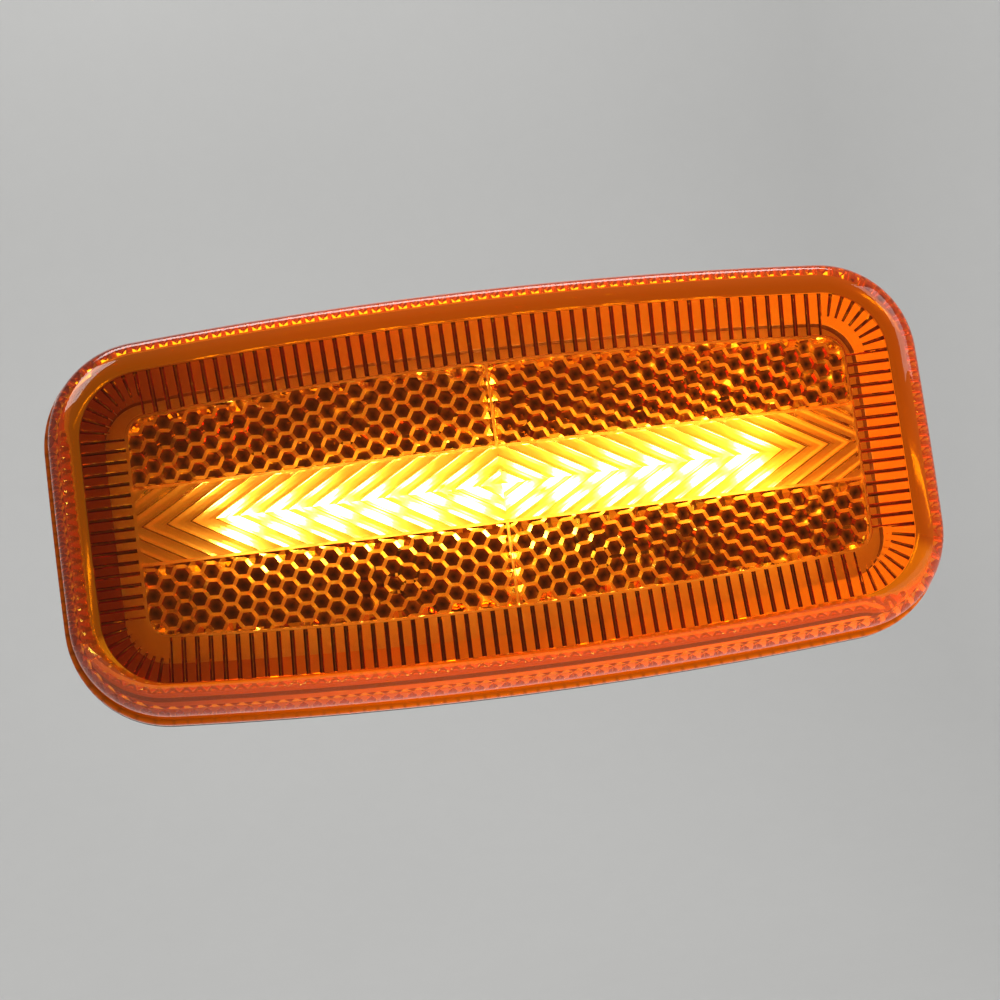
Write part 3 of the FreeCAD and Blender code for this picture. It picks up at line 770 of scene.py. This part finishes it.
amber = bpy.data.materials.new("amber_clear_plastic")
amber.use_nodes = True
tree = amber.node_tree
shader = tree.nodes["Principled BSDF"]
place = add_node(tree, "TexCoord", {}).outputs["Object"]
cloud = add_node(tree, "TexNoise", {"Vector": place, "Scale": 90.0, "Detail": 3.0}).outputs["Fac"]
tone = ramp_node(tree, cloud, ((0.35, (1.0, 0.93, 0.80)), (0.65, (1.0, 0.97, 0.88))), "LINEAR")
tree.links.new(tone, shader.inputs["Base Color"])
shader.inputs["Roughness"].default_value = 0.0
shader.inputs["IOR"].default_value = 1.49
shader.inputs["Transmission Weight"].default_value = 1.0
absorb = add_node(tree, "VolumeAbsorption", {"Color": (0.95, 0.77, 0.03, 1), "Density": 900.0})
tree.links.new(absorb.outputs[0], tree.nodes["Material Output"].inputs["Volume"])
# The lens, which is no lamp, glows with the painted edge light and the painted light and glints in its
# cells.
on_edge = add_node(tree, "Attribute", {})
on_edge.attribute_name = "edge_light"
edge_glow = ramp_node(tree, on_edge.outputs["Fac"], (
    (0.0, dark),
    (0.3, (0.20, 0.034, 0.0)),
    (1.0, (1.0, 0.20, 0.0)),
))
# Painted light and glints in the reflex cells and on the ribs.
in_cell = add_node(tree, "Attribute", {})
in_cell.attribute_name = "cell_light"
cell_glow = ramp_node(tree, in_cell.outputs["Fac"], (
    (0.0, dark),
    (0.3, (0.10, 0.03, 0.006)),
    (0.6, (0.55, 0.26, 0.05)),
    (1.0, (4.0, 3.6, 1.6)),
))
light_up(amber, vector_node(tree, "ADD", edge_glow, cell_glow), 1.0)
lens = mesh_object("amber_lens", lens_points, lens_faces, amber, smooth_angle=22)
for name, values in (("edge_light", edge_light), ("cell_light", cell_light)):
    lens.data.attributes.new(name, "FLOAT", "POINT").data.foreach_set("value", values)
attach(lens, "root")
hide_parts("lens")


# Studio: a pale floor that sweeps up into a pale wall behind, soft lamps above
# and to the sides, and a dim room in front so that the clear face stays clear.
# The camera sees the room and the floor's far ends as pale.
def sweep(half_width=3.0, floor_z=-0.16, front=-0.55, back=2.2, bend=0.8, top=3.0):
    """Floor and wall in one sheet: straight, a quarter turn, straight up."""
    t = np.linspace(0, np.pi / 2, 25)
    y = np.concatenate([[front, 0.0], back - bend + bend * np.sin(t), [back]])[:, None]
    z = np.concatenate([[floor_z, floor_z], floor_z + bend - bend * np.cos(t), [top]])[:, None]
    x = np.linspace(-half_width, half_width, 3)[None, :]
    grid = np.stack([x + 0 * y, y + 0 * x, z + 0 * x], axis=-1)
    row = np.arange(len(y) - 1)[:, None] * 3
    step = np.arange(2)[None, :]
    here = row + step
    quads = np.stack([here, here + 1, here + 4, here + 3], axis=-1).reshape(-1, 4)
    return grid.reshape(-1, 3), quads.tolist()


paper = grained(
    "pale_paper", (0.66, 0.66, 0.65),
    shade=0.02, grain=60, patch=3, rough=(0.85, 0.95), bump=0.0,
)
tree = paper.node_tree
off_centre = math_node(tree, "ABSOLUTE", object_place(tree)["X"])
far = add_node(tree, "MapRange", {"Value": off_centre, "From Min": 0.6, "From Max": 1.7, "To Max": 0.42})
seen = add_node(tree, "LightPath", {}).outputs["Is Camera Ray"]
lift = math_node(tree, "MULTIPLY", seen, far.outputs[0])
light_up(paper, (1.0, 1.0, 0.985), 0.0)
tree.links.new(lift, tree.nodes["Principled BSDF"].inputs["Emission Strength"])
points, faces = sweep()
floor = mesh_object("studio_sweep", points, faces, paper, smooth_angle=60)

world = bpy.data.worlds.new("studio_room")
bpy.context.scene.world = world
world.use_nodes = True
tree = world.node_tree
room = tree.nodes["Background"]
direction = add_node(tree, "TexCoord", {}).outputs["Generated"]
dim = add_node(tree, "MapRange", {
    "Value": add_node(tree, "SeparateXYZ", {0: direction}).outputs["Y"],
    "From Min": -0.9,
    "From Max": -0.2,
    "To Min": 0.06,
    "To Max": 0.2,
})
seen = add_node(tree, "LightPath", {}).outputs["Is Camera Ray"]
pale = math_node(tree, "MULTIPLY", seen, 0.55)
tree.links.new(math_node(tree, "MAXIMUM", dim.outputs[0], pale), room.inputs["Strength"])
room.inputs["Color"].default_value = (1.0, 0.985, 0.96, 1)


def soft_lamp(name, place, aim, size, power):
    """Square area lamp at a place, turned to its aim."""
    lamp = bpy.data.lights.new(name, "AREA")
    lamp.size = size
    lamp.energy = power
    holder = bpy.data.objects.new(name, lamp)
    holder.location = place
    holder.rotation_euler = (Vector(aim) - Vector(place)).to_track_quat("-Z", "Y").to_euler()
    bpy.context.scene.collection.objects.link(holder)


soft_lamp("key_lamp", (-0.7, -0.5, 0.9), aim=(0, 0, 0), size=0.7, power=8)
soft_lamp("fill_lamp", (0.9, -0.35, 0.5), aim=(0, 0, 0), size=0.7, power=3.5)
soft_lamp("wall_lamp", (0.0, 0.9, 1.6), aim=(0, 2.0, 0.3), size=1.2, power=18)

# Camera at the photograph's angle: a little left of and below the lens axis,
# and rolled so that the right end stands higher. The photograph's middle lies
# a few pixels off the camera's axis.
azimuth, elevation, roll = math.radians(-6.282), math.radians(-7.992), math.radians(-7.797)
distance = 0.38034
photo_px, focal_px = 1000, 2792.5
axis_x_px, axis_y_px = 496.86, 492.52
target = Vector((0, foot_y, 0))
flat = math.cos(elevation)
back = Vector((math.sin(azimuth) * flat, -math.cos(azimuth) * flat, math.sin(elevation)))
level = (-back).cross(Vector((0, 0, 1))).normalized()
upright = level.cross(-back)
right = math.cos(roll) * level + math.sin(roll) * upright
up = -math.sin(roll) * level + math.cos(roll) * upright
turned = Matrix((right, up, back)).transposed().to_4x4()
camera = bpy.data.cameras.new("camera")
camera.sensor_width = 36.0
camera.lens = focal_px / photo_px * camera.sensor_width
camera.shift_x = (photo_px / 2 - axis_x_px) / photo_px
camera.shift_y = (axis_y_px - photo_px / 2) / photo_px
camera.clip_start = 0.01
holder = bpy.data.objects.new("camera", camera)
holder.matrix_world = Matrix.Translation(target + back * distance) @ turned
bpy.context.scene.collection.objects.link(holder)
bpy.context.scene.camera = holder
bpy.context.scene.view_settings.view_transform = "Standard"
